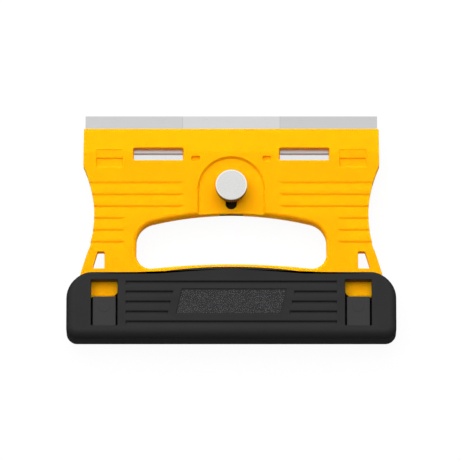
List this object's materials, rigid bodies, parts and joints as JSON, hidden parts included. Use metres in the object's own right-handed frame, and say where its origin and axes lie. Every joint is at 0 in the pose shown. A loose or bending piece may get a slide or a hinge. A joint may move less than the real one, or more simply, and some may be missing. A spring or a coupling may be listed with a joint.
{
  "type": "hand scraper",
  "caption": "Wide hand scraper: two-shell frame with a hand hole, sliding blade carrier clamped by a thumb screw, and a clip-on handle cover that stores spare blades.",
  "frame": {"origin": "centre of the bounding box on the plane of the cover's back face", "axes": "+X along the blades, +Y from the handle to the cutting edge, +Z out of the front face with the knob"},
  "size_m": [0.1692, 0.1194, 0.0235],
  "materials": {
    "yellow_plastic": "semi-gloss moulded",
    "black_plastic": "fine matte texture",
    "blade_steel": "ground",
    "bright_steel": "polished stainless",
    "knob_metal": "turned and knurled",
    "dark_steel": "black oxide",
    "zinc_steel": "zinc plated"
  },
  "bodies": {
    "frame": {"front_shell": "yellow_plastic", "rear_shell": "yellow_plastic", "shell_screws": "zinc_steel"},
    "blade_carriage": {"blade_carrier": "bright_steel", "blade_left": "blade_steel", "blade_centre": "blade_steel", "blade_right": "blade_steel", "blade_pegs": "zinc_steel", "clamp_nut": "dark_steel", "nut_rivets": "zinc_steel"},
    "washers": {"flat_washer": "zinc_steel", "spring_washer": "dark_steel"},
    "thumb_screw": {"knob": "knob_metal", "stud": "dark_steel"},
    "handle_cover": {"handle_cover": "black_plastic"},
    "left_latch_tab": {"left_latch_tab": "black_plastic"},
    "right_latch_tab": {"right_latch_tab": "black_plastic"}
  },
  "joints": [
    {"name": "blade_slide", "type": "slide", "parent": "frame", "child": "blade_carriage", "axis": [0, -1, 0], "range_m": [0, 0.0074]},
    {"name": "screw_lift", "type": "slide", "parent": "blade_carriage", "child": "washers", "axis": [0, 0, 1], "range_m": [0, 0.00081]},
    {"name": "knob_turn", "type": "hinge", "parent": "washers", "child": "thumb_screw", "pos_m": [0, 0.0199, 0.0135], "axis": [0, 0, 1], "range_deg": [0, 360]},
    {"name": "cover_slide", "type": "slide", "parent": "frame", "child": "handle_cover", "axis": [0, -1, 0], "range_m": [0, 0.02], "deforming": ["left_latch_tab", "right_latch_tab"]},
    {"name": "left_tab_press", "type": "hinge", "parent": "handle_cover", "child": "left_latch_tab", "pos_m": [-0.0653, -0.05215, 0.01735], "axis": [-1, 0, 0], "range_deg": [0, 5], "stiffness_Nm_per_rad": 0.6},
    {"name": "right_tab_press", "type": "hinge", "parent": "handle_cover", "child": "right_latch_tab", "pos_m": [0.0653, -0.05215, 0.01735], "axis": [-1, 0, 0], "range_deg": [0, 5], "stiffness_Nm_per_rad": 0.6}
  ],
  "couplings": [
    {"joint": "screw_lift", "follows": "knob_turn", "m_per_rad": 0.00012732}
  ]
}
